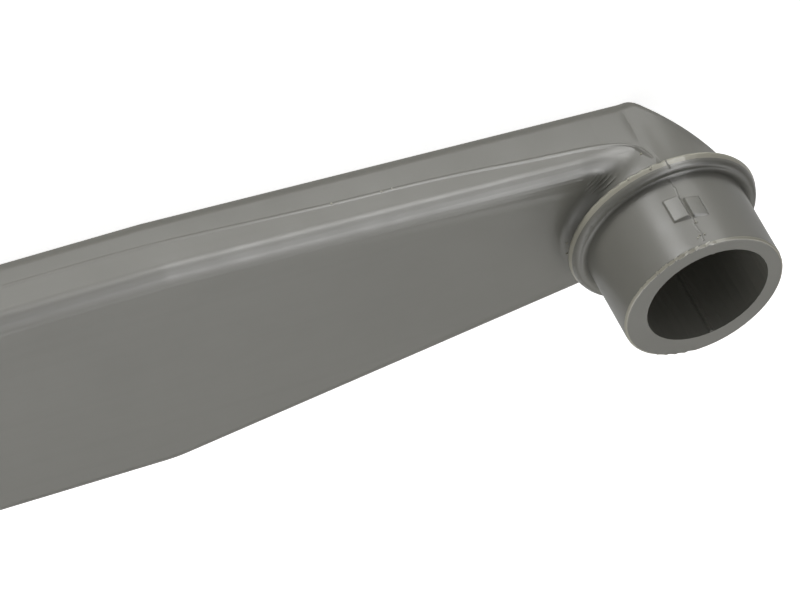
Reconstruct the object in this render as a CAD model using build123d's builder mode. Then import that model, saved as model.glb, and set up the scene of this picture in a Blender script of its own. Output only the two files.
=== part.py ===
"""Feed tube for a dishwasher wash arm, blown as one hollow piece.

A flat duct with rounded long edges narrows towards one end, turns through a
mitred elbow and leaves it as a round spigot with a collar.  The other end of
the duct is a plain open mouth.

Frame: the origin is the centre of the collar's seating face, +Z points out of
the spigot and +X runs along the straight duct towards its mouth.
"""

import os
from math import cos, radians, sin, tan

from build123d import *

# Driving dimensions, in millimetres and degrees.

# Round spigot, with its bore a little off centre: the blown wall is thinner
# towards the outer corner of the elbow.
spigot_diameter = 29.5
spigot_length = 15.2
spigot_wall = 3.5
bore_shift = 0.75
bore_shift_angle = 225.0
rim_radius = 0.6

# Collar that the spigot stops against.  Its band narrows towards the seat, and
# its rounded edges take their shares of the band, the larger one at the seat.
collar_width = 2.9
collar_thickness = 2.3
collar_draft = 0.7
collar_back_share = 0.2
collar_seat_share = 0.5

# Neck under the collar, slightly fuller than the spigot.
neck_swell = 0.25
neck_fillet = 2.6
neck_land = 0.9

# Flat duct: narrow at the neck, full width from the bend to the mouth.
duct_width = 53.0
duct_thickness = 13.5
duct_edge_radius = 3.2
duct_reach = 300.0
taper_length = 88.0
bend_angle = 4.3
bend_radius = 20.0
neck_step = 0.15

# Mitre across the elbow's outer back corner.
mitre_angle = 50.5
mitre_start = -0.6
mitre_edge_radius = 1.8

# Blown wall of the duct, and the rounding along the channel inside it.
duct_wall = 2.0
channel_edge_radius = 1.2

# Sizes that follow from the ones above.
spigot_radius = spigot_diameter / 2
bore_radius = spigot_radius - spigot_wall
collar_radius = spigot_radius + collar_width
collar_back_radius = collar_back_share * collar_thickness
collar_seat_radius = collar_seat_share * collar_thickness
neck_radius = spigot_radius + neck_swell
front_level = -(collar_thickness + neck_land + neck_fillet)
back_level = front_level - duct_thickness

# The elbow is square to the tapered part of the duct, not to the straight one.
lean = radians(bend_angle)
mitre_slope = tan(radians(mitre_angle))
elbow_section = Plane(
    origin=(0, 0, 0),
    x_dir=(cos(lean), sin(lean), 0),
    z_dir=(sin(lean), -cos(lean), 0),
)
mitre_normal = Axis(
    origin=(0, 0, 0),
    direction=(-cos(lean), -sin(lean), -1 / mitre_slope),
)


def duct_plan(inset: float) -> Sketch:
    """Draw the duct from above, from the spigot's axis to the mouth, its sides moved in by inset."""
    half_neck = neck_radius - neck_step - inset
    half_duct = duct_width / 2 - inset
    bend_x = taper_length * cos(lean)
    bend_y = taper_length * sin(lean)
    slant = half_duct * tan(lean)
    with BuildSketch() as plan:
        with BuildLine():
            Polyline(
                (-half_neck * sin(lean), half_neck * cos(lean)),
                (bend_x - slant, bend_y + half_duct),
                (duct_reach, bend_y + half_duct),
                (duct_reach, bend_y - half_duct),
                (bend_x + slant, bend_y - half_duct),
                (half_neck * sin(lean), -half_neck * cos(lean)),
                close=True,
            )
        make_face()
        fillet(plan.vertices().sort_by(Axis.X)[2:4], bend_radius)
    return plan.sketch


def mitre_wedge(inset: float) -> Sketch:
    """Draw what the mitre takes off the elbow, seen from the side, its slope moved in by inset."""
    start = mitre_start + inset / sin(radians(mitre_angle))
    run = 2 * collar_radius
    low = back_level - duct_thickness
    with BuildSketch() as wedge:
        with BuildLine():
            Polyline(
                (start + duct_thickness / mitre_slope, low),
                (start - run, back_level + run * mitre_slope),
                (start - run, low),
                close=True,
            )
        make_face()
    return wedge.sketch


# Outside of the duct and elbow.  The front edges are rounded before the neck
# joins them, so that the neck's fillet rolls over them and down both creases.
# The neck is cut to its height after the mitre, so that the mitre's rounding
# runs all the way round.
with BuildPart() as shell:
    with BuildSketch(Plane.XY.offset(back_level)):
        add(duct_plan(inset=0))
    extrude(amount=duct_thickness)
    front_edges = shell.faces().sort_by(Axis.Z)[-1].edges().sort_by(Axis.X)[1:-1]
    fillet(front_edges, duct_edge_radius)

    with BuildSketch(Plane.XY.offset(back_level)):
        Circle(neck_radius)
    extrude(amount=spigot_length - back_level)
    front_face = shell.faces().filter_by(Plane.XY).sort_by(Axis.Z)[1]
    front_arcs = front_face.edges().filter_by(GeomType.CIRCLE)
    fillet(front_arcs.filter_by_position(Axis.X, 0, neck_radius), neck_fillet)

    back_edges = shell.faces().sort_by(Axis.Z)[0].edges().sort_by(Axis.X)[:-1]
    fillet(back_edges, duct_edge_radius)

    with BuildSketch(elbow_section):
        add(mitre_wedge(inset=0))
    extrude(amount=collar_radius, both=True, mode=Mode.SUBTRACT)
    fillet(shell.faces().filter_by(mitre_normal)[0].edges(), mitre_edge_radius)
    split(bisect_by=Plane.XY.offset(-collar_thickness), keep=Keep.BOTTOM)

# Inside of the duct, elbow and collar, one wall in from the outside, and the
# narrower bore of the spigot.
with BuildPart() as channel:
    with BuildSketch(Plane.XY.offset(back_level + duct_wall)):
        add(duct_plan(inset=duct_wall))
    extrude(amount=duct_thickness - 2 * duct_wall)
    side_edges = channel.faces().filter_by(Plane.XY).edges().sort_by(Axis.X)[2:-2]
    fillet(side_edges, channel_edge_radius)

    with BuildSketch(Plane.XY.offset(back_level + duct_wall)):
        Circle(neck_radius - duct_wall)
    extrude(amount=-back_level - duct_wall)
    with BuildSketch(elbow_section):
        add(mitre_wedge(inset=duct_wall))
    extrude(amount=collar_radius, both=True, mode=Mode.SUBTRACT)

    with BuildSketch():
        with PolarLocations(bore_shift, 1, start_angle=bore_shift_angle):
            Circle(bore_radius)
    extrude(amount=spigot_length)

# The whole tube: the shell with its collar and spigot, hollowed in one cut.
with BuildPart() as feed_tube:
    add(shell.part)
    with BuildSketch(Plane.XZ) as turned:
        with BuildLine():
            Polyline(
                (0, -collar_thickness),
                (collar_radius, -collar_thickness),
                (collar_radius - collar_draft, 0),
                (spigot_radius, 0),
                (spigot_radius, spigot_length),
                (0, spigot_length),
                close=True,
            )
        make_face()
        fillet(turned.vertices().sort_by(Axis.X)[-2], collar_seat_radius)
        fillet(turned.vertices().sort_by(Axis.X)[-1], collar_back_radius)
        fillet(turned.vertices().sort_by(Axis.Y)[-2:].sort_by(Axis.X)[-1], rim_radius)
    revolve(axis=Axis.Z)
    add(channel.part, mode=Mode.SUBTRACT)

feed_tube.part.label = "feed_tube"
os.makedirs("parts", exist_ok=True)
export_step(feed_tube.part, "parts/feed_tube.step")
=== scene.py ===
"""Looks of a dishwasher wash arm feed tube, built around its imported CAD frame.

The tube is one blown piece of grey polypropylene.  Its body has the CAD node's
own form, merged and smoothly shaded, with the corners of its neck eased.  On it
stand the marks that the mould leaves: the parting line, two plain pads on the
spigot, folds at the elbow, wrinkles at the neck, flash on the trimmed edges and
small burrs.  Sizes are in millimetres until a mesh is made, which is in metres.
"""

import logging
from collections.abc import Iterable, Sequence
from dataclasses import dataclass
from enum import Enum
from math import cos, pi, radians, sin

import bmesh
import bpy
import numpy as np
from bmesh.types import BMVert, BMesh
from bpy.types import ID, Material, Mesh, Node, NodeOutputs, NodeSocket, NodeTree, Object, World
from mathutils import Matrix, Vector
from mathutils.bvhtree import BVHTree


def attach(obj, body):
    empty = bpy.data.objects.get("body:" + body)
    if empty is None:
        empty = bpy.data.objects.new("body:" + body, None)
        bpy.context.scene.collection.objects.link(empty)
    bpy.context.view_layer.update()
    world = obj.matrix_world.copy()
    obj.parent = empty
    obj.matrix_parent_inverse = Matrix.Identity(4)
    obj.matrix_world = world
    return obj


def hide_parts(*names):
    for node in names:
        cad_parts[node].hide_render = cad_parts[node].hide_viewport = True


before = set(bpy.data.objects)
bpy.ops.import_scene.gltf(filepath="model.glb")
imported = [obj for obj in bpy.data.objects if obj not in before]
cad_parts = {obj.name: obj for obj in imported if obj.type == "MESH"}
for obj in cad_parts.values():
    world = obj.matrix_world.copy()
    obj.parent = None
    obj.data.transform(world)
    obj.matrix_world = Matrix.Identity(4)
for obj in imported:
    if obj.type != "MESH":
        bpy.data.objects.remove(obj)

MM = 0.001
BODY = "root"
NODE = "feed_tube"

log = logging.getLogger("feed_tube")


class Side(Enum):
    """Narrow side of the duct, by the sign of the direction it faces along Y."""

    NEAR = -1
    FAR = 1


class Reach(Enum):
    """What a lamp's light reaches: all of a surface's shading, or its gloss alone."""

    ALL = "all"
    GLOSS = "gloss"


def srgb(code: str) -> tuple[float, float, float, float]:
    """Turn an sRGB hex colour into a linear one.

    Args:
        code: six hex digits after a hash sign.

    Returns:
        Linear red, green, blue and an alpha of 1.
    """
    values = [int(code[i : i + 2], 16) / 255 for i in (1, 3, 5)]
    linear = [v / 12.92 if v <= 0.04045 else ((v + 0.055) / 1.055) ** 2.4 for v in values]
    return (linear[0], linear[1], linear[2], 1.0)


def add_node(tree: NodeTree, kind: str, inputs: dict[str | int, object] | None = None) -> Node:
    """Add a node to a tree with its settings and links.

    Args:
        tree: the node tree.
        kind: the node's type.
        inputs: the node's own properties by name, then its inputs by name or number, each
            with its value or with the output that feeds it.

    Returns:
        The new node.
    """
    node = tree.nodes.new(kind)
    for name, value in (inputs or {}).items():
        if isinstance(value, NodeSocket):
            tree.links.new(value, node.inputs[name])
        elif isinstance(name, str) and hasattr(node, name):
            setattr(node, name, value)
        else:
            node.inputs[name].default_value = value
    return node


def empty_tree(owner: Material | World) -> NodeTree:
    """Give a material or a world an empty node tree.

    Args:
        owner: the material or the world.

    Returns:
        Its tree.
    """
    owner.use_nodes = True
    owner.node_tree.nodes.clear()
    return owner.node_tree


def add_object(name: str, data: ID) -> Object:
    """Link a new object to the scene.

    Args:
        name: the object's name.
        data: its mesh, light or camera.

    Returns:
        The object, at the origin.
    """
    made = bpy.data.objects.new(name, data)
    bpy.context.scene.collection.objects.link(made)
    return made


def add_source(name: str, points: Iterable[Vector], edges: Sequence[tuple[int, int]] = ()) -> Object:
    """Link an object of points and edges to the scene, for a modifier to work on.

    Args:
        name: the object's name.
        points: its points, in millimetres.
        edges: pairs of point numbers.

    Returns:
        The object, its mesh in metres.
    """
    mesh = bpy.data.meshes.new(name)
    mesh.from_pydata([p * MM for p in points], edges, [])
    return add_object(name, mesh)


def evaluated_mesh(source: Object) -> Mesh:
    """Turn an object and its modifiers into a plain mesh, and remove the object.

    Args:
        source: a scene object with live modifiers.

    Returns:
        The mesh that the modifiers give.
    """
    bpy.context.view_layer.update()
    graph = bpy.context.evaluated_depsgraph_get()
    mesh = bpy.data.meshes.new_from_object(
        source.evaluated_get(graph), preserve_all_data_layers=True, depsgraph=graph
    )
    bpy.data.objects.remove(source)
    return mesh


def add_piece(name: str, mesh: Mesh) -> Object:
    """Link a finished mesh to the scene as a piece that rides with the tube.

    Args:
        name: the piece's name.
        mesh: its mesh, in place, in metres.

    Returns:
        The piece's object, at the origin.
    """
    mesh.name = name
    piece = add_object(name, mesh)
    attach(piece, BODY)
    log.info("%s: %d faces", name, len(mesh.polygons))
    return piece


def close_inwards(shape: BMesh, depth: float = 0.2) -> None:
    """Turn an open sheet on the body's surface into a closed shell that reaches into the wall.

    Args:
        shape: the sheet, its faces outwards, in metres.
        depth: how far the shell reaches in, in millimetres.
    """
    shape.normal_update()
    made = bmesh.ops.extrude_face_region(shape, geom=shape.faces[:], use_keep_orig=True)["geom"]
    for point in made:
        if isinstance(point, BMVert):
            point.co -= point.normal * depth * MM
    bmesh.ops.recalc_face_normals(shape, faces=shape.faces[:])


def smooth_through(controls: Sequence[Vector], step: float) -> list[Vector]:
    """Draw a smooth line through control points of any dimension.

    Args:
        controls: the points that the line passes through.
        step: the distance between the line's own points.

    Returns:
        Points along the line, ends included.
    """
    ends = [2 * controls[0] - controls[1], *controls, 2 * controls[-1] - controls[-2]]
    line = [controls[0]]
    for before, start, end, after in zip(ends, ends[1:], ends[2:], ends[3:]):
        bend = 2 * before - 5 * start + 4 * end - after
        twist = 3 * start - before - 3 * end + after
        count = max(1, round((end - start).length / step))
        for i in range(1, count + 1):
            t = i / count
            line.append(0.5 * (2 * start + (end - before) * t + bend * t**2 + twist * t**3))
    return line


@dataclass(frozen=True)
class TubeSizes:
    """Sizes of the tube that its moulding marks are set out from, in millimetres and degrees."""

    spigot_radius: float = 14.75
    spigot_length: float = 15.2
    rim_radius: float = 0.6
    bore_centre: tuple[float, float] = (-0.53, -0.53)
    collar_radius: float = 17.65
    collar_thickness: float = 2.3
    neck_radius: float = 15.0
    back_level: float = -19.3
    bend_angle: float = 4.3

    def set_back(self, side: Side) -> float:
        """Find how far back a mark lies on a side, since the elbow is square to the leaning duct."""
        return (1 + side.value) * self.neck_radius * sin(radians(self.bend_angle))


@dataclass(frozen=True)
class MouldedPolypropylene:
    """Grey polypropylene as it leaves a blow mould.

    It gives the eye an even, slightly warm grey with a soft satin gloss.  The
    melt leaves faint clouds and lengthwise draw marks on the duct, and the
    blasted mould leaves a fine grain that breaks up the highlights.
    """

    name: str = "moulded_polypropylene"
    light: str = "#82817A"
    dark: str = "#797871"
    draw_mark: str = "#75746D"
    ior: float = 1.49
    roughness: tuple[float, float] = (0.31, 0.39)
    cloud_mm: float = 22.0
    draw_mm: tuple[float, float] = (90.0, 1.6)
    draw_share: float = 0.15
    draw_from_mm: tuple[float, float] = (18.0, 50.0)
    draw_range: tuple[float, float] = (0.45, 0.75)
    gloss_mm: float = 6.0
    gloss_range: tuple[float, float] = (0.3, 0.7)
    # A blasted mould's own grain is too fine to show, so it is drawn coarser.
    grain_mm: float = 0.45
    grain_depth_mm: float = 0.01
    wave_mm: float = 14.0
    wave_depth_mm: float = 0.03

    def build(self) -> Material:
        """Build the material.

        Returns:
            The material, its patterns on Object coordinates.
        """
        material = bpy.data.materials.new(self.name)
        tree = empty_tree(material)
        place = add_node(tree, "ShaderNodeTexCoord").outputs["Object"]
        plastic = add_node(tree, "ShaderNodeBsdfPrincipled", {
            "IOR": self.ior,
            "Base Color": self._colour(tree, place),
            "Roughness": self._roughness(tree, place),
            "Normal": self._relief(tree, place),
        })
        add_node(tree, "ShaderNodeOutputMaterial", {"Surface": plastic.outputs["BSDF"]})
        return material

    def _colour(self, tree: NodeTree, place: NodeSocket) -> NodeSocket:
        """Mix two close greys in clouds, then draw marks along the duct, none of them on the elbow.

        Args:
            tree: the material's tree.
            place: the Object coordinates.

        Returns:
            The colour.
        """
        cloud = add_node(tree, "ShaderNodeTexNoise", {
            "Scale": 1 / (self.cloud_mm * MM),
            "Detail": 3.0,
            "Roughness": 0.55,
            "Vector": place,
        })
        grey = add_node(tree, "ShaderNodeMix", {
            "data_type": "RGBA",
            6: srgb(self.dark),
            7: srgb(self.light),
            0: cloud.outputs["Fac"],
        })
        along, across = self.draw_mm
        stretched = add_node(tree, "ShaderNodeMapping", {
            "Scale": (1 / (along * MM), 1 / (across * MM), 1 / (across * MM)),
            "Vector": place,
        })
        draw = add_node(tree, "ShaderNodeTexNoise", {
            "Scale": 1.0,
            "Detail": 2.0,
            "Vector": stretched.outputs["Vector"],
        })
        split = add_node(tree, "ShaderNodeSeparateXYZ", {"Vector": place})
        start, full = self.draw_from_mm
        on_duct = add_node(tree, "ShaderNodeMapRange", {
            "From Min": start * MM,
            "From Max": full * MM,
            "To Max": self.draw_share,
            "Value": split.outputs["X"],
        })
        share = add_node(tree, "ShaderNodeMapRange", {
            "From Min": self.draw_range[0],
            "From Max": self.draw_range[1],
            "Value": draw.outputs["Fac"],
            "To Max": on_duct.outputs["Result"],
        })
        colour = add_node(tree, "ShaderNodeMix", {
            "data_type": "RGBA",
            7: srgb(self.draw_mark),
            0: share.outputs["Result"],
            6: grey.outputs[2],
        })
        return colour.outputs[2]

    def _roughness(self, tree: NodeTree, place: NodeSocket) -> NodeSocket:
        """Vary the satin gloss a little from place to place.

        Args:
            tree: the material's tree.
            place: the Object coordinates.

        Returns:
            The roughness.
        """
        gloss = add_node(tree, "ShaderNodeTexNoise", {
            "Scale": 1 / (self.gloss_mm * MM),
            "Detail": 4.0,
            "Vector": place,
        })
        smooth, rough = self.roughness
        roughness = add_node(tree, "ShaderNodeMapRange", {
            "From Min": self.gloss_range[0],
            "From Max": self.gloss_range[1],
            "To Min": smooth,
            "To Max": rough,
            "Value": gloss.outputs["Fac"],
        })
        return roughness.outputs["Result"]

    def _relief(self, tree: NodeTree, place: NodeSocket) -> NodeSocket:
        """Raise the shallow waves of the blown wall, and the grain that the mould's blasting leaves.

        Args:
            tree: the material's tree.
            place: the Object coordinates.

        Returns:
            The bumped normal.
        """
        wave = add_node(tree, "ShaderNodeTexNoise", {
            "Scale": 1 / (self.wave_mm * MM),
            "Detail": 1.0,
            "Vector": place,
        })
        wave_bump = add_node(tree, "ShaderNodeBump", {
            "Distance": self.wave_depth_mm * MM,
            "Height": wave.outputs["Fac"],
        })
        grain = add_node(tree, "ShaderNodeTexNoise", {
            "Scale": 1 / (self.grain_mm * MM),
            "Detail": 2.0,
            "Vector": place,
        })
        grain_bump = add_node(tree, "ShaderNodeBump", {
            "Distance": self.grain_depth_mm * MM,
            "Height": grain.outputs["Fac"],
            "Normal": wave_bump.outputs["Normal"],
        })
        return grain_bump.outputs["Normal"]


@dataclass(frozen=True)
class PaleFloor:
    """White floor that takes the tube's shadow, plain white to the camera and pale in reflections."""

    name: str = "pale_floor"
    colour: str = "#E6E6E6"
    seen_glow: float = 0.85
    mirrored_glow: float = 0.2

    def build(self) -> Material:
        """Build the material.

        Returns:
            A matt white that also glows where it is looked at, and fainter in reflections.
        """
        material = bpy.data.materials.new(self.name)
        tree = empty_tree(material)
        path = add_node(tree, "ShaderNodeLightPath").outputs
        through = add_node(tree, "ShaderNodeMath", {
            "operation": "MAXIMUM",
            0: path["Is Glossy Ray"],
            1: path["Is Transmission Ray"],
        })
        mirrored = add_node(tree, "ShaderNodeMath", {
            "operation": "MULTIPLY",
            1: self.mirrored_glow,
            0: through.outputs[0],
        })
        glow = add_node(tree, "ShaderNodeMath", {
            "operation": "MULTIPLY_ADD",
            1: self.seen_glow,
            0: path["Is Camera Ray"],
            2: mirrored.outputs[0],
        })
        matt = add_node(tree, "ShaderNodeBsdfDiffuse", {"Color": srgb(self.colour)})
        light = add_node(tree, "ShaderNodeEmission", {"Strength": glow.outputs[0]})
        both = add_node(tree, "ShaderNodeAddShader", {0: matt.outputs[0], 1: light.outputs[0]})
        add_node(tree, "ShaderNodeOutputMaterial", {"Surface": both.outputs[0]})
        return material


@dataclass
class NeckCorner:
    """Corner where the neck's foot runs over a front edge of the duct, eased as a blown wall eases it.

    The surface round the corner is read as heights on a grid that faces outwards, and
    the heights are evened out, most at the centre and not at all at the border.
    """

    sizes: TubeSizes
    side: Side
    centre: tuple[float, float, float] = (8.0, -13.6, -6.2)
    outward: tuple[float, float, float] = (0.35, -0.62, 0.70)
    reach: float = 7.5
    spacing: float = 0.25
    passes: int = 130
    soft_passes: int = 8
    pull: float = 0.5
    fine: float = 0.7
    split_rounds: int = 9
    moved_share: float = 0.9
    split_share: float = 0.88
    depth: float = 0.2
    clearance: float = 0.05
    below_collar: float = 0.3
    fade: float = 1.5

    def __post_init__(self) -> None:
        """Set up the grid's axes, turned over to the far side where that is asked for."""
        turn = Matrix.Rotation(radians(self.sizes.bend_angle), 3, "Z")
        flip = turn @ Matrix.Diagonal((1.0, -self.side.value, 1.0)) @ turn.transposed()
        self.middle = flip @ Vector(self.centre)
        self.out = (flip @ Vector(self.outward)).normalized()
        self.right = self.out.cross(Vector((0.0, 0.0, 1.0))).normalized()
        self.up = self.right.cross(self.out)
        self.count = int(self.reach / self.spacing) + 3

    def ease(self, shape: BMesh) -> dict[tuple[float, ...], Vector]:
        """Ease the corner of a body.

        Args:
            shape: the body, in metres.

        Returns:
            The normal of each point that lies on the corner, by its rounded place.
        """
        before, weights = self._read(shape)
        after = before.copy()
        for _ in range(self.passes):
            after += self.pull * weights * (self._mean(after) - after)
        soft = after.copy()
        for _ in range(self.soft_passes):
            soft += self.pull * (self._mean(soft) - soft)
        rise_up, rise_right = np.gradient(soft, self.spacing)
        self._refine(shape, before)
        normals = {}
        for point in shape.verts:
            if not self._on(before, point.co / MM, self.moved_share):
                continue
            across = self._grid(point.co / MM)
            lift = self._value(after, across) - self._value(before, across)
            slope_right, slope_up = self._value(rise_right, across), self._value(rise_up, across)
            point.co += self.out * lift * MM
            normals[tuple(round(c, 8) for c in point.co)] = (
                self.out - self.right * slope_right - self.up * slope_up
            ).normalized()
        return normals

    def _read(self, shape: BMesh) -> tuple[np.ndarray, np.ndarray]:
        """Read the heights on the grid, and how far each may move.

        Args:
            shape: the body.

        Returns:
            The heights in millimetres and the weights from 0 to 1.
        """
        top = -self.sizes.collar_thickness - self.clearance
        kept = [f for f in shape.faces if f.calc_center_median().z / MM < top]
        numbers = {v: i for i, v in enumerate(dict.fromkeys(v for f in kept for v in f.verts))}
        faces = [[numbers[v] for v in f.verts] for f in kept]
        tree = BVHTree.FromPolygons([v.co / MM for v in numbers], faces)
        width = 2 * self.count + 1
        heights, weights = np.zeros((width, width)), np.zeros((width, width))
        for j in range(width):
            for i in range(width):
                over = self.right * (i - self.count) + self.up * (j - self.count)
                start = self.middle + over * self.spacing + self.out * self.reach
                hit = tree.ray_cast(start, -self.out, 2 * self.reach)[0]
                if hit is None:
                    continue
                away = hit - self.middle
                heights[j, i] = away.dot(self.out)
                share = max(0.0, 1 - away.length_squared / self.reach**2)
                below = min(1.0, max(0.0, (top - self.below_collar - hit.z) / self.fade))
                weights[j, i] = share**2 * below
        return heights, weights

    @staticmethod
    def _mean(field: np.ndarray) -> np.ndarray:
        """Take the mean of the four neighbours of each place of a field."""
        return sum(np.roll(field, shift, axis) for shift in (-1, 1) for axis in (0, 1)) / 4

    def _grid(self, point: Vector) -> tuple[float, float]:
        """Find the column and row of a point on the grid."""
        away = (point - self.middle) / self.spacing
        return away.dot(self.right) + self.count, away.dot(self.up) + self.count

    @staticmethod
    def _value(field: np.ndarray, place: tuple[float, float]) -> float:
        """Read a field between its places.

        Args:
            field: the field.
            place: a column and row within it.

        Returns:
            The value there.
        """
        i, j = int(place[0]), int(place[1])
        u, v = place[0] - i, place[1] - j
        low = field[j, i] * (1 - u) + field[j, i + 1] * u
        return float(low * (1 - v) + (field[j + 1, i] * (1 - u) + field[j + 1, i + 1] * u) * v)

    def _on(self, heights: np.ndarray, point: Vector, share: float) -> bool:
        """Say whether a point lies on the corner's surface.

        Args:
            heights: the corner's heights.
            point: the point.
            share: the share of the reach that counts.

        Returns:
            Whether it is near enough and on the surface that was read.
        """
        away = point - self.middle
        if away.length > share * self.reach:
            return False
        return abs(away.dot(self.out) - self._value(heights, self._grid(point))) < self.depth

    def _refine(self, shape: BMesh, heights: np.ndarray) -> None:
        """Split the edges on the corner until they are short.

        Args:
            shape: the body.
            heights: the corner's heights.
        """
        for _ in range(self.split_rounds):
            split = []
            for edge in shape.edges:
                start, end = (v.co / MM for v in edge.verts)
                if (end - start).length < self.fine:
                    continue
                t = (self.middle - start).dot(end - start) / (end - start).length_squared
                if self._on(heights, start.lerp(end, min(1.0, max(0.0, t))), self.split_share):
                    split.append(edge)
            if not split:
                break
            bmesh.ops.subdivide_edges(shape, edges=split, cuts=1)
            bmesh.ops.triangulate(shape, faces=[f for f in shape.faces if len(f.verts) > 3])


@dataclass
class TubeBody:
    """The blown tube itself, in the CAD node's form, with the neck's corners eased."""

    finish: Material
    corners: tuple[NeckCorner, ...]
    name: str = "tube_body"
    sharp_angle: float = 35.0
    weld: float = 0.0005
    agreement: float = 0.75

    def build(self, node: Object) -> Object:
        """Merge a copy of the CAD node and shade it smoothly, with its flats kept flat.

        Args:
            node: the CAD node's object.

        Returns:
            The piece that stands for the node.
        """
        mesh = node.data.copy()
        mesh.materials.clear()
        shape = bmesh.new()
        shape.from_mesh(mesh)
        bmesh.ops.remove_doubles(shape, verts=shape.verts, dist=self.weld * MM)
        bmesh.ops.dissolve_degenerate(shape, edges=shape.edges, dist=self.weld * MM)
        normals: dict[tuple[float, ...], Vector] = {}
        for corner in self.corners:
            normals |= corner.ease(shape)
        shape.to_mesh(mesh)
        shape.free()
        mesh.shade_smooth()
        mesh.set_sharp_from_angle(angle=radians(self.sharp_angle))

        source = add_object(self.name, mesh)
        weighted = source.modifiers.new("flat faces first", "WEIGHTED_NORMAL")
        weighted.mode = "FACE_AREA_WITH_ANGLE"
        weighted.keep_sharp = True
        result = evaluated_mesh(source)
        self._bend_light(result, normals)
        result.materials.clear()
        result.materials.append(self.finish)
        piece = add_piece(self.name, result)
        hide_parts(NODE)
        return piece

    def _bend_light(self, mesh: Mesh, normals: dict[tuple[float, ...], Vector]) -> None:
        """Shade the eased corners by their own normals, except across a sharp edge.

        Args:
            mesh: the body's mesh.
            normals: the normal of each eased point, by its rounded place.
        """
        shading = [corner.vector.copy() for corner in mesh.corner_normals]
        for i, loop in enumerate(mesh.loops):
            place = tuple(round(c, 8) for c in mesh.vertices[loop.vertex_index].co)
            normal = normals.get(place)
            if normal is not None and normal.dot(shading[i]) > self.agreement:
                shading[i] = normal
        mesh.normals_split_custom_set(shading)


class Skin:
    """The body's surface, asked where a mark stands on it.  Points are in millimetres."""

    FAR_OFF = 200.0

    def __init__(self, body: Object) -> None:
        """Prepare the surface for questions.

        Args:
            body: the piece whose surface it is.
        """
        points = [v.co / MM for v in body.data.vertices]
        faces = [tuple(p.vertices) for p in body.data.polygons]
        self.tree = BVHTree.FromPolygons(points, faces)

    def along(self, start: Vector, direction: Vector) -> Vector:
        """Find the first point of the surface from a start point along a direction.

        Args:
            start: a point off the surface.
            direction: where to look.

        Returns:
            The point that is met, or the nearest one where none is.
        """
        hit = self.tree.ray_cast(start, direction)[0]
        return hit if hit is not None else self.tree.find_nearest(start)[0]

    def from_side(self, x: float, z: float, side: Side) -> Vector:
        """Find the outermost point of a narrow side, at a place along the tube and a height."""
        return self.along(Vector((x, side.value * self.FAR_OFF, z)), Vector((0.0, -side.value, 0.0)))

    def from_front(self, x: float, y: float, z: float) -> Vector:
        """Find the point below a place in front of the tube."""
        return self.along(Vector((x, y, z)), Vector((0.0, 0.0, -1.0)))


@dataclass
class RidgePath:
    """Path of a ridge on the surface, with its half width and rise at each point, in millimetres."""

    points: list[Vector]
    half_widths: list[float]
    rises: list[float]

    @classmethod
    def even(
        cls, points: list[Vector], half_width: float, rise: float, taper: bool = False
    ) -> "RidgePath":
        """Make a path of one half width, and of one rise or one that thins out to both ends.

        Args:
            points: points on the surface.
            half_width: the ridge's half width.
            rise: its full rise.
            taper: whether it thins out.

        Returns:
            The path.
        """
        last = len(points) - 1
        rises = [rise] * len(points)
        if taper:
            rises = [0.0, *(rise * sin(pi * i / last) ** 0.5 for i in range(1, last)), 0.0]
        return cls(points, [half_width] * len(points), rises)


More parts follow.
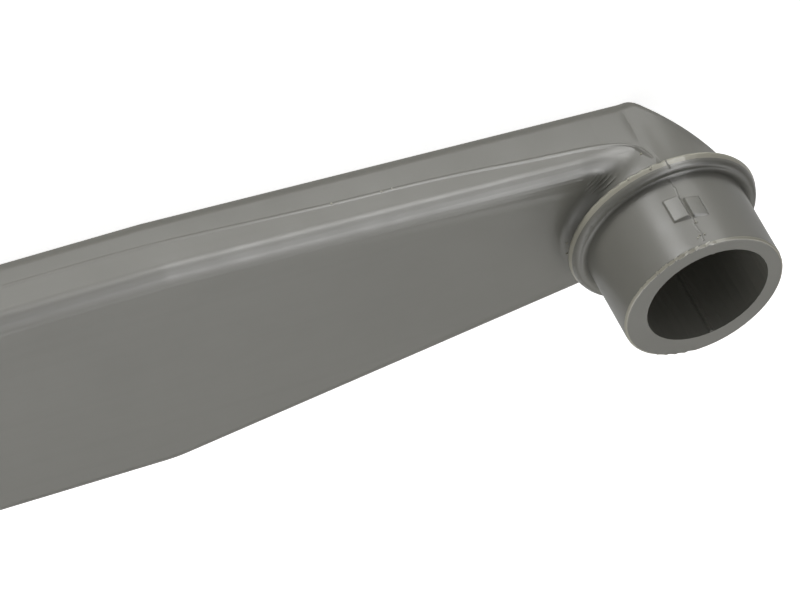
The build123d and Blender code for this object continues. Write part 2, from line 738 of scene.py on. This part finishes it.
class Ridges:
    """Low ridges that follow paths on the body, draped over it by one node tree."""

    FLOATS = ("Crest", "Unevenness", "Uneven Length")
    SHARP_ANGLE = 60.0
    WELD = 0.001

    def __init__(self, body: Object, sunk: float = 0.02, strands: int = 13) -> None:
        """Build the tree once for all ridges.

        Args:
            body: the piece that carries the ridges.
            sunk: how deep their borders lie under its surface, in millimetres.
            strands: how many lines of points lie across a ridge.
        """
        self.body = body
        self.tree = bpy.data.node_groups.new("ridges", "GeometryNodeTree")
        face = self.tree.interface
        kinds = {"Body": "NodeSocketObject", "Finish": "NodeSocketMaterial"}
        kinds |= {name: "NodeSocketFloat" for name in self.FLOATS}
        face.new_socket("Paths", in_out="INPUT", socket_type="NodeSocketGeometry")
        self.inputs = {
            name: face.new_socket(name, in_out="INPUT", socket_type=kind).identifier
            for name, kind in kinds.items()
        }
        face.new_socket("Ridges", in_out="OUTPUT", socket_type="NodeSocketGeometry")
        given = add_node(self.tree, "NodeGroupInput").outputs
        strip = self._strip(given, strands)
        self._finish(given, self._drape(given, strip, sunk))

    def _on_body(self, given: NodeOutputs, field: str) -> NodeSocket:
        """Sample a field of the body at the nearest point of its surface.

        Args:
            given: the tree's inputs.
            field: the type of the node that gives the field.

        Returns:
            The sampled vector.
        """
        tree = self.tree
        body = add_node(tree, "GeometryNodeObjectInfo", {"Object": given["Body"]})
        value = add_node(tree, field)
        place = add_node(tree, "GeometryNodeInputPosition")
        nearest = add_node(tree, "GeometryNodeSampleNearestSurface", {
            "data_type": "FLOAT_VECTOR",
            "Mesh": body.outputs["Geometry"],
            "Value": value.outputs[0],
            "Sample Position": place.outputs[0],
        })
        return nearest.outputs["Value"]

    def _strip(self, given: NodeOutputs, strands: int) -> NodeSocket:
        """Sweep a flat line along the paths, square to the body's normal and as wide as each path says.

        Args:
            given: the tree's inputs.
            strands: how many points the line has.

        Returns:
            The strip, each point knowing its place across it.
        """
        tree = self.tree
        curves = add_node(tree, "GeometryNodeMeshToCurve", {"Mesh": given["Paths"]})
        turned = add_node(tree, "GeometryNodeSetCurveNormal", {
            "mode": "FREE",
            "Curve": curves.outputs[0],
            "Normal": self._on_body(given, "GeometryNodeInputNormal"),
        })
        line = add_node(tree, "GeometryNodeCurvePrimitiveLine", {
            "Start": (0.0, -1.0, 0.0),
            "End": (0.0, 1.0, 0.0),
        })
        cut = add_node(tree, "GeometryNodeResampleCurve", {"Count": strands, "Curve": line.outputs[0]})
        across = add_node(tree, "GeometryNodeSplineParameter")
        marked = add_node(tree, "GeometryNodeStoreNamedAttribute", {
            "Name": "across",
            "Geometry": cut.outputs[0],
            "Value": across.outputs["Factor"],
        })
        half_width = add_node(tree, "GeometryNodeInputNamedAttribute", {"Name": "half_width"})
        strip = add_node(tree, "GeometryNodeCurveToMesh", {
            "Curve": turned.outputs[0],
            "Profile Curve": marked.outputs[0],
            "Scale": half_width.outputs[0],
        })
        return strip.outputs[0]

    def _drape(self, given: NodeOutputs, strip: NodeSocket, sunk: float) -> NodeSocket:
        """Lay the strip on the body and raise it towards its crest, a little unevenly.

        Args:
            given: the tree's inputs.
            strip: the flat strip.
            sunk: how deep its borders lie under the surface, in millimetres.

        Returns:
            The draped ridges.
        """
        tree = self.tree
        across = add_node(tree, "GeometryNodeInputNamedAttribute", {"Name": "across"})
        slopes = [
            add_node(tree, "ShaderNodeMapRange", {
                "interpolation_type": "SMOOTHSTEP",
                "From Min": foot,
                "Value": across.outputs[0],
                "From Max": given["Crest"],
            }).outputs["Result"]
            for foot in (0.0, 1.0)
        ]
        shape = add_node(tree, "ShaderNodeMath", {"operation": "MINIMUM", 0: slopes[0], 1: slopes[1]})
        place = add_node(tree, "GeometryNodeInputPosition")
        often = add_node(tree, "ShaderNodeMath", {
            "operation": "DIVIDE",
            0: 1.0,
            1: given["Uneven Length"],
        })
        noise = add_node(tree, "ShaderNodeTexNoise", {
            "Detail": 2.0,
            "Vector": place.outputs[0],
            "Scale": often.outputs[0],
        })
        swing = add_node(tree, "ShaderNodeMath", {
            "operation": "MULTIPLY_ADD",
            1: 2.0,
            2: -1.0,
            0: noise.outputs["Fac"],
        })
        uneven = add_node(tree, "ShaderNodeMath", {
            "operation": "MULTIPLY_ADD",
            2: 1.0,
            0: swing.outputs[0],
            1: given["Unevenness"],
        })
        rise = add_node(tree, "GeometryNodeInputNamedAttribute", {"Name": "rise"})
        crest = add_node(tree, "ShaderNodeMath", {
            "operation": "MULTIPLY",
            0: rise.outputs[0],
            1: uneven.outputs[0],
        })
        height = add_node(tree, "ShaderNodeMath", {
            "operation": "MULTIPLY_ADD",
            2: -sunk * MM,
            0: shape.outputs[0],
            1: crest.outputs[0],
        })
        lift = add_node(tree, "ShaderNodeVectorMath", {
            "operation": "SCALE",
            0: self._on_body(given, "GeometryNodeInputNormal"),
            "Scale": height.outputs[0],
        })
        draped = add_node(tree, "GeometryNodeSetPosition", {
            "Geometry": strip,
            "Position": self._on_body(given, "GeometryNodeInputPosition"),
            "Offset": lift.outputs[0],
        })
        return draped.outputs[0]

    def _finish(self, given: NodeOutputs, ridges: NodeSocket) -> None:
        """Shade the ridges smoothly, make them real and dress them.

        Args:
            given: the tree's inputs.
            ridges: the draped ridges.
        """
        tree = self.tree
        smooth = add_node(tree, "GeometryNodeSetShadeSmooth", {"Geometry": ridges})
        real = add_node(tree, "GeometryNodeRealizeInstances", {"Geometry": smooth.outputs[0]})
        dressed = add_node(tree, "GeometryNodeSetMaterial", {
            "Geometry": real.outputs[0],
            "Material": given["Finish"],
        })
        add_node(tree, "NodeGroupOutput", {"Ridges": dressed.outputs[0]})

    def build(
        self,
        name: str,
        paths: Iterable[RidgePath],
        finish: Material,
        crest: float = 0.5,
        unevenness: float = 0.0,
        uneven_length: float = 5.0,
    ) -> Object:
        """Raise ridges along paths.

        Args:
            name: the piece's name.
            paths: the ridges' paths.
            finish: their material.
            crest: where the crest lies across a ridge, from 0 to 1.
            unevenness: how far the rise wanders, as a share of it.
            uneven_length: the length of one such swing, in millimetres.

        Returns:
            The ridges as one piece.
        """
        points: list[Vector] = []
        edges: list[tuple[int, int]] = []
        measures: dict[str, list[float]] = {"half_width": [], "rise": []}
        for path in paths:
            edges += [(i, i + 1) for i in range(len(points), len(points) + len(path.points) - 1)]
            points += path.points
            measures["half_width"] += path.half_widths
            measures["rise"] += path.rises
        source = add_source(name, points, edges)
        for label, values in measures.items():
            layer = source.data.attributes.new(label, "FLOAT", "POINT")
            layer.data.foreach_set("value", [v * MM for v in values])
        modifier = source.modifiers.new("ridges", "NODES")
        modifier.node_group = self.tree
        settings = {
            "Body": self.body,
            "Finish": finish,
            "Crest": crest,
            "Unevenness": unevenness,
            "Uneven Length": uneven_length * MM,
        }
        for label, value in settings.items():
            modifier[self.inputs[label]] = value
        mesh = evaluated_mesh(source)
        for label in ("half_width", "rise", "across"):
            if label in mesh.attributes:
                mesh.attributes.remove(mesh.attributes[label])
        self._close(mesh)
        return add_piece(name, mesh)

    def _close(self, mesh: Mesh) -> None:
        """Turn each ridge's faces the way that the body under them faces, and close it in the wall.

        Args:
            mesh: the ridges' mesh.
        """
        shape = bmesh.new()
        shape.from_mesh(mesh)
        bmesh.ops.remove_doubles(shape, verts=shape.verts, dist=self.WELD * MM)
        shape.normal_update()
        skin = Skin(self.body).tree
        wrong = []
        for face in shape.faces:
            outward = skin.find_nearest(face.calc_center_median() / MM)[1]
            if face.normal.dot(outward) < 0:
                wrong.append(face)
        bmesh.ops.reverse_faces(shape, faces=wrong)
        close_inwards(shape)
        shape.to_mesh(mesh)
        shape.free()
        mesh.set_sharp_from_angle(angle=radians(self.SHARP_ANGLE))


class Burrs:
    """Small burrs and specks of flash, one low grain set on each of many points."""

    LEAST = (0.5, 0.4, 0.5)
    MOST = (1.3, 0.9, 1.0)
    FULL_TURN = (2 * pi, 2 * pi, 2 * pi)

    def __init__(self, finish: Material) -> None:
        """Build the tree once for all burrs.

        Args:
            finish: their material.
        """
        self.tree = bpy.data.node_groups.new("burrs", "GeometryNodeTree")
        face = self.tree.interface
        face.new_socket("Places", in_out="INPUT", socket_type="NodeSocketGeometry")
        size = face.new_socket("Size", in_out="INPUT", socket_type="NodeSocketFloat")
        self.size = size.identifier
        face.new_socket("Burrs", in_out="OUTPUT", socket_type="NodeSocketGeometry")
        tree = self.tree
        given = add_node(tree, "NodeGroupInput").outputs
        grain = add_node(tree, "GeometryNodeMeshIcoSphere", {"Subdivisions": 3, "Radius": given["Size"]})
        turn = add_node(tree, "FunctionNodeRandomValue", {
            "data_type": "FLOAT_VECTOR",
            0: (0.0, 0.0, 0.0),
            1: self.FULL_TURN,
            "Seed": 3,
        })
        scale = add_node(tree, "FunctionNodeRandomValue", {
            "data_type": "FLOAT_VECTOR",
            0: self.LEAST,
            1: self.MOST,
            "Seed": 8,
        })
        set_on = add_node(tree, "GeometryNodeInstanceOnPoints", {
            "Points": given["Places"],
            "Instance": grain.outputs["Mesh"],
            "Rotation": turn.outputs[0],
            "Scale": scale.outputs[0],
        })
        real = add_node(tree, "GeometryNodeRealizeInstances", {"Geometry": set_on.outputs[0]})
        smooth = add_node(tree, "GeometryNodeSetShadeSmooth", {"Geometry": real.outputs[0]})
        dressed = add_node(tree, "GeometryNodeSetMaterial", {
            "Material": finish,
            "Geometry": smooth.outputs[0],
        })
        add_node(tree, "NodeGroupOutput", {"Burrs": dressed.outputs[0]})

    def build(self, name: str, places: Sequence[Vector], size: float) -> Object:
        """Set a burr on each place.

        Args:
            name: the piece's name.
            places: points on the surface, in millimetres.
            size: the burrs' radius, in millimetres.

        Returns:
            The burrs as one piece.
        """
        source = add_source(name, places)
        spread = source.modifiers.new("burrs", "NODES")
        spread.node_group = self.tree
        spread[self.size] = size * MM
        return add_piece(name, evaluated_mesh(source))


@dataclass
class PartingLine:
    """Line where the mould's halves met: along the narrow sides, the collar, the spigot and the bore.

    The line on a narrow side is given as rows of distance along the tube, height,
    half width and rise.  It swells into a soft ridge where it turns up to the neck.
    """

    sizes: TubeSizes
    skin: Skin
    step: float = 0.8
    turn: tuple[tuple[float, float, float, float], ...] = (
        (299.8, -12.6, 0.60, 0.06),
        (200.0, -12.9, 0.60, 0.06),
        (112.0, -13.2, 0.60, 0.06),
        (88.0, -12.9, 0.56, 0.08),
        (60.0, -12.1, 0.50, 0.11),
        (44.0, -11.9, 0.48, 0.13),
        (33.0, -11.5, 0.52, 0.15),
        (24.0, -10.9, 0.58, 0.17),
        (16.0, -10.5, 0.62, 0.18),
        (11.0, -10.2, 0.62, 0.18),
        (6.4, -9.5, 0.62, 0.20),
        (3.8, -8.2, 0.62, 0.22),
        (2.6, -6.4, 0.60, 0.28),
        (2.0, -4.9, 0.45, 0.02),
    )
    lean: float = 1.3
    sways: tuple[tuple[float, float, float], ...] = ((0.12, 1.9, 0.0), (0.06, 4.3, 1.0))
    line_half_width: float = 0.3
    line_rise: float = 0.1
    band_gap: float = 0.25
    band_step: float = 0.1
    band_count: int = 18
    wall_gap: float = 0.1
    wall_step: float = 0.35
    bore_way: tuple[float, float, float] = (-0.19, 0.98, 0.0)
    bore_step: float = 0.5
    bore_count: int = 30
    bore_half_width: float = 0.5
    bore_rise: float = 0.4

    def side(self, side: Side) -> RidgePath:
        """Follow the line along one narrow side and up its turn to the neck.

        Args:
            side: the narrow side.

        Returns:
            The path, from the mouth to just under the collar.
        """
        shift = self.sizes.set_back(side)
        rows = smooth_through([Vector(row) for row in self.turn], self.step)
        points = [self.skin.from_side(x - shift, z, side) for x, z, _, _ in rows]
        points[0].x = self.turn[0][0]
        return RidgePath(points, [row[2] for row in rows], [row[3] for row in rows])

    def spigot(self, side: Side) -> list[RidgePath]:
        """Follow the line over the collar's band and up the spigot to its rim.

        Args:
            side: the side of the spigot.

        Returns:
            The path on the band and the path on the spigot.
        """
        s = self.sizes
        band_start = self.band_gap - s.collar_thickness
        band = [band_start + self.band_step * i for i in range(self.band_count)]
        wall_count = int((s.spigot_length - s.rim_radius) / self.wall_step)
        wall = [self.wall_gap + self.wall_step * i for i in range(wall_count)]
        paths = []
        for heights in (band, wall):
            points = []
            for z in heights:
                sway = sum(size * sin(pace * z + start) for size, pace, start in self.sways)
                x = -side.value * (self.lean + sway)
                points.append(self.skin.from_side(x, z, side))
            paths.append(RidgePath.even(points, self.line_half_width, self.line_rise))
        return paths

    def bore(self) -> RidgePath:
        """Follow the line down the far wall of the bore.

        Returns:
            The path, from the rim to the elbow.
        """
        x, y = self.sizes.bore_centre
        way = Vector(self.bore_way).normalized()
        points = []
        for i in range(self.bore_count):
            z = self.sizes.spigot_length - self.wall_gap - self.bore_step * i
            points.append(self.skin.along(Vector((x, y, z)), way))
        return RidgePath.even(points, self.bore_half_width, self.bore_rise)


@dataclass
class SpigotPads:
    """Two plain pads that mould inserts leave on the spigot, one on each side of the parting line.

    Each pad is highest at the parting line and falls off round the spigot.  It is
    given by its angle at the line and its outer angle, in degrees, its lowest and
    highest level and its rise.
    """

    sizes: TubeSizes
    finish: Material
    name: str = "spigot_pads"
    pads: tuple[tuple[float, float, float, float, float], ...] = (
        (-85.5, -72.4, 3.8, 9.2, 0.75),
        (-85.5, -98.2, 4.5, 9.2, 0.65),
    )
    edge: float = 0.5
    outer_share: float = 0.3
    slope: float = -0.1
    sunk: float = 0.06
    cells: int = 44

    def build(self) -> Object:
        """Wrap the pads' relief round the spigot.

        Returns:
            The pads as one piece, their borders sunk below the spigot's wall.
        """
        shape = bmesh.new()
        for pad in self.pads:
            self._add(shape, *pad)
        close_inwards(shape)
        mesh = bpy.data.meshes.new(self.name)
        shape.to_mesh(mesh)
        shape.free()
        mesh.shade_smooth()
        mesh.set_sharp_from_angle(angle=radians(Ridges.SHARP_ANGLE))
        mesh.materials.append(self.finish)
        return add_piece(self.name, mesh)

    def _add(
        self, shape: BMesh, inner: float, outer: float, low: float, high: float, rise: float
    ) -> None:
        """Add one pad to a shape.

        Args:
            shape: the shape that takes the pad.
            inner: the pad's angle at the parting line.
            outer: its outer angle.
            low: its lowest level.
            high: its highest level.
            rise: how far it stands off the wall at the parting line.
        """
        radius = self.sizes.spigot_radius
        width = radians(abs(outer - inner)) * radius
        height = high - low
        way = 1 if outer > inner else -1
        rows = []
        for j in range(self.cells + 1):
            row = []
            for i in range(self.cells + 1):
                across, up = i / self.cells * width, j / self.cells * height
                level = rise * (1 - (1 - self.outer_share) * across / width)
                level *= self._ease(min(across, width - across) / self.edge)
                level *= self._ease(min(up, height - up) / self.edge)
                angle = radians(inner) + way * across / radius
                z = low + up + self.slope * way * across
                reach = (radius - self.sunk + level) * MM
                row.append(shape.verts.new((reach * cos(angle), reach * sin(angle), z * MM)))
            rows.append(row[::way])
        for lower, upper in zip(rows, rows[1:]):
            for a, b, c, d in zip(lower, lower[1:], upper[1:], upper):
                shape.faces.new((a, b, c, d))

    @staticmethod
    def _ease(share: float) -> float:
        """Ease from 0 to 1 over the unit range."""
        share = min(1.0, max(0.0, share))
        return share * share * (3 - 2 * share)


@dataclass
class NeckWrinkles:
    """Short folds round the collar's foot, where the blown wall gathered.

    Each fold is given by its radius and its first and last angle in degrees.
    """

    sizes: TubeSizes
    skin: Skin
    folds: tuple[tuple[float, float, float], ...] = (
        (15.5, -37.0, -57.0),
        (16.0, -35.0, -56.0),
        (16.5, -37.0, -54.0),
        (17.05, -35.5, -52.0),
        (17.7, -40.0, -49.0),
    )
    below_collar: float = 0.02
    half_width: float = 0.24
    rise: float = 0.12
    steps: int = 16

    def paths(self) -> list[RidgePath]:
        """Set out the folds on the fillet between the front face and the neck.

        Returns:
            One path for each fold.
        """
        under_collar = -self.sizes.collar_thickness - self.below_collar
        paths = []
        for radius, start, end in self.folds:
            points = []
            for i in range(self.steps + 1):
                angle = radians(start + (end - start) * i / self.steps)
                x, y = radius * cos(angle), radius * sin(angle)
                points.append(self.skin.from_front(x, y, under_collar))
            paths.append(RidgePath.even(points, self.half_width, self.rise, taper=True))
        return paths


@dataclass
class ElbowFold:
    """Shallow fold on each narrow side, where the duct's wall falls off to the elbow's crease."""

    sizes: TubeSizes
    skin: Skin
    crease: float = 2.4
    fall: float = 1.35
    half_width: float = 4.0
    rise: float = 0.2
    levels: tuple[float, float] = (-17.0, -7.6)
    steps: int = 24

    def crest(self) -> float:
        """Find where the fold's crest lies across it."""
        return self.fall / (2 * self.half_width)

    def path(self, side: Side) -> RidgePath:
        """Set out the fold on one narrow side.

        Args:
            side: the narrow side.

        Returns:
            The path, up the side, its right border on the crease.
        """
        shift = self.sizes.set_back(side)
        low, high = self.levels
        points = []
        for i in range(self.steps + 1):
            z = low + (high - low) * i / self.steps
            points.append(self.skin.from_side(self.crease + self.half_width - shift, z, side))
        if side is Side.FAR:
            points.reverse()
        return RidgePath.even(points, self.half_width, self.rise, taper=True)


@dataclass
class EdgeFlash:
    """Thin pale flash round the rim's trimmed edge and round the collar's band; its paleness is partly a
    painted highlight.
    """

    sizes: TubeSizes
    skin: Skin
    rim_gap: float = 0.1
    rim_half_width: float = 0.5
    band_gap: float = 0.3
    band_half_width: float = 0.95
    band_level: float = -1.4
    rise: float = 0.06
    steps: int = 540

    def _ring(self, radius: float, z: float, half_width: float) -> RidgePath:
        """Set out flash round the spigot's axis.

        Args:
            radius: the ring's radius, a little off the surface.
            z: its height.
            half_width: its half width.

        Returns:
            The path.
        """
        points = []
        for i in range(self.steps + 1):
            angle = 2 * pi * i / self.steps
            place = Vector((radius * cos(angle), radius * sin(angle), z))
            points.append(self.skin.tree.find_nearest(place)[0])
        return RidgePath.even(points, half_width, self.rise)

    def paths(self) -> list[RidgePath]:
        """Set out the flash on the rim and on the collar.

        Returns:
            The path on the rim and the path on the collar.
        """
        s, gap = self.sizes, self.rim_gap
        return [
            self._ring(s.spigot_radius + gap, s.spigot_length + gap, self.rim_half_width),
            self._ring(s.collar_radius + self.band_gap, self.band_level, self.band_half_width),
        ]


@dataclass(frozen=True)
class Lamp:
    """One soft square lamp that faces the elbow from a metre away.

    It is given by its azimuth and elevation in degrees, its size in metres and its
    power in watts.
    """

    name: str
    azimuth: float
    elevation: float
    size: float
    power: float
    reach: Reach = Reach.ALL
    distance: float = 1.0

    def place(self) -> Vector:
        """Find where the lamp hangs, in metres."""
        turn, tilt = radians(self.azimuth), radians(self.elevation)
        return self.distance * Vector((cos(tilt) * cos(turn), cos(tilt) * sin(turn), sin(tilt)))


@dataclass
class Studio:
    """Pale floor, soft lamps and the camera at the photograph's view.

    The floor is a light table: the lamps under it shine through it.
    """

    sizes: TubeSizes
    floor_size: float = 4.0
    floor_gap: float = 0.02
    sky: float = 0.18
    sky_colour: str = "#FFFFFF"
    lamps: tuple[Lamp, ...] = (
        Lamp("table lamp left", 293.0, -33.0, 0.3, 3.85),
        Lamp("table lamp middle", 266.0, -33.0, 0.3, 0.8),
        Lamp("table lamp right", 243.0, -33.0, 0.4, 1.6, Reach.GLOSS),
        Lamp("low softbox", 275.0, 10.0, 0.3, 0.45),
        Lamp("far softbox", 90.0, 50.0, 0.5, 1.9),
        Lamp("far right softbox", 135.0, 50.0, 0.5, 1.8),
        Lamp("far left softbox", 40.0, 50.0, 0.5, 2.2),
        Lamp("side strip", 250.0, -4.0, 0.3, 3.9, Reach.GLOSS),
        Lamp("front strip", 249.5, 14.0, 0.3, 1.9, Reach.GLOSS),
        Lamp("edge strip", 243.0, 38.0, 0.45, 4.4, Reach.GLOSS),
        Lamp("top strip", 224.0, 61.0, 0.36, 5.2, Reach.GLOSS),
        Lamp("far strip", 165.0, 75.0, 0.4, 2.4, Reach.GLOSS),
        Lamp("neck strip", 12.0, 26.0, 0.6, 1.3, Reach.GLOSS),
    )
    camera_place: tuple[float, float, float] = (335.30, -760.10, 534.13)
    camera_right: tuple[float, float, float] = (-0.916226, -0.066884, 0.395039)
    camera_down: tuple[float, float, float] = (0.271934, 0.620291, 0.735725)
    focal_px: float = 5800.0
    frame_px: float = 800.0
    sensor_mm: float = 36.0
    clip: tuple[float, float] = (0.01, 20.0)

    def build(self) -> None:
        """Build the floor, the sky, the lamps and the camera."""
        floor = self._floor()
        self._sky()
        see_through = bpy.data.collections.new("light table")
        see_through.objects.link(floor)
        see_through.collection_objects[0].light_linking.link_state = "EXCLUDE"
        for lamp in self.lamps:
            light = self._hang(lamp)
            if lamp.elevation < 0:
                light.light_linking.blocker_collection = see_through
        self._camera()
        bpy.context.scene.view_settings.view_transform = "Standard"

    def _floor(self) -> Object:
        """Lay the floor under the tube's back face.

        Returns:
            The floor.
        """
        half = self.floor_size / 2
        z = (self.sizes.back_level - self.floor_gap) * MM
        mesh = bpy.data.meshes.new("floor")
        corners = [(-half, -half, z), (half, -half, z), (half, half, z), (-half, half, z)]
        mesh.from_pydata(corners, [], [(0, 1, 2, 3)])
        mesh.materials.append(PaleFloor().build())
        floor = add_object("floor", mesh)
        return floor

    def _sky(self) -> None:
        """Surround the scene with soft light that the camera sees as white."""
        world = bpy.data.worlds.new("studio")
        tree = empty_tree(world)
        path = add_node(tree, "ShaderNodeLightPath").outputs
        strength = add_node(tree, "ShaderNodeMix", {
            "data_type": "FLOAT",
            2: self.sky,
            3: 1.0,
            0: path["Is Camera Ray"],
        })
        light = add_node(tree, "ShaderNodeBackground", {
            "Color": srgb(self.sky_colour),
            "Strength": strength.outputs[0],
        })
        add_node(tree, "ShaderNodeOutputWorld", {"Surface": light.outputs[0]})
        bpy.context.scene.world = world

    def _hang(self, lamp: Lamp) -> Object:
        """Hang a lamp, out of the camera's sight.

        Args:
            lamp: the lamp's place, size and power.

        Returns:
            The light.
        """
        data = bpy.data.lights.new(lamp.name, "AREA")
        data.shape = "SQUARE"
        data.size = lamp.size
        data.energy = lamp.power
        light = add_object(lamp.name, data)
        turn = lamp.place().to_track_quat("Z", "Y").to_matrix().to_4x4()
        light.matrix_world = Matrix.Translation(lamp.place()) @ turn
        light.visible_camera = False
        light.visible_diffuse = lamp.reach is Reach.ALL
        return light

    def _camera(self) -> None:
        """Set up the camera by its place and its right and down directions."""
        data = bpy.data.cameras.new("camera")
        data.sensor_fit = "HORIZONTAL"
        data.sensor_width = self.sensor_mm
        data.lens = self.sensor_mm * self.focal_px / self.frame_px
        data.clip_start, data.clip_end = self.clip
        right = Vector(self.camera_right).normalized()
        down = Vector(self.camera_down)
        down = (down - right * down.dot(right)).normalized()
        turn = Matrix((right, -down, -right.cross(down))).transposed()
        camera = add_object("camera", data)
        camera.matrix_world = Matrix.Translation(Vector(self.camera_place) * MM) @ turn.to_4x4()
        bpy.context.scene.camera = camera


@dataclass
class FeedTube:
    """The whole tube: its body and the marks that moulding leaves on it."""

    sizes: TubeSizes
    plastic: MouldedPolypropylene = MouldedPolypropylene()
    # The flash finish is paler than the plastic, partly as the flash's own tone and partly as a painted
    # highlight on the trimmed edges and a painted glint on the burrs.
    flash_and_highlight: MouldedPolypropylene = MouldedPolypropylene(
        name="polypropylene_flash", light="#B4B1A2", dark="#A4A192", draw_share=0.0
    )
    burr_places: tuple[tuple[float, float, float], ...] = (
        (16.0, 2.4, -5.4),
        (15.6, 5.5, -5.6),
        (8.2, -15.6, -1.7),
        (4.2, -16.8, -1.6),
        (2.1, -14.7, 13.3),
        (1.6, -14.7, 12.9),
        (0.7, -14.7, 13.0),
        (1.0, -14.7, 10.2),
        (3.4, -14.7, -6.6),
        (58.0, -18.1, -12.1),
        (49.0, -17.6, -12.0),
        (47.0, -17.5, -12.0),
    )
    burr_size: float = 0.28
    rim_nodule: tuple[float, float, float] = (-0.3, -11.7, 14.75)
    nodule_size: float = 0.7

    def build(self) -> None:
        """Build the body, then its marks."""
        plastic = self.plastic.build()
        flash_and_highlight = self.flash_and_highlight.build()
        corners = tuple(NeckCorner(self.sizes, side) for side in Side)
        body = TubeBody(plastic, corners).build(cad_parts[NODE])
        skin = Skin(body)
        ridges = Ridges(body)
        parting = PartingLine(self.sizes, skin)
        for side in Side:
            name = side.name.lower()
            line = [parting.side(side)]
            ridges.build(
                f"parting_line_{name}", line, plastic, crest=0.4, unevenness=0.4, uneven_length=6.0
            )
            line = parting.spigot(side)
            ridges.build(f"spigot_line_{name}", line, plastic, unevenness=0.5, uneven_length=2.0)
        fold = ElbowFold(self.sizes, skin)
        ridges.build("elbow_folds", [fold.path(side) for side in Side], plastic, crest=fold.crest())
        ridges.build("bore_line", [parting.bore()], plastic, crest=0.3, unevenness=0.3)
        SpigotPads(self.sizes, plastic).build()
        wrinkles = NeckWrinkles(self.sizes, skin).paths()
        ridges.build("neck_wrinkles", wrinkles, plastic, unevenness=0.3, uneven_length=2.0)
        rings = EdgeFlash(self.sizes, skin).paths()
        # The flash rings take the pale finish, partly a painted highlight along the rim's and the
        # collar's edges.
        ridges.build("edge_flash", rings, flash_and_highlight, unevenness=0.25, uneven_length=3.0)
        places = [skin.tree.find_nearest(Vector(place))[0] for place in self.burr_places]
        # The burrs take the pale finish too, partly a painted glint on each speck.
        Burrs(flash_and_highlight).build("burrs", places, self.burr_size)
        Burrs(plastic).build("rim_nodule", [Vector(self.rim_nodule)], self.nodule_size)


def main() -> None:
    """Build the tube and its studio."""
    logging.basicConfig(level=logging.INFO, format="%(name)s: %(message)s")
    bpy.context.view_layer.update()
    sizes = TubeSizes()
    FeedTube(sizes).build()
    Studio(sizes).build()


if __name__ == "__main__":
    main()
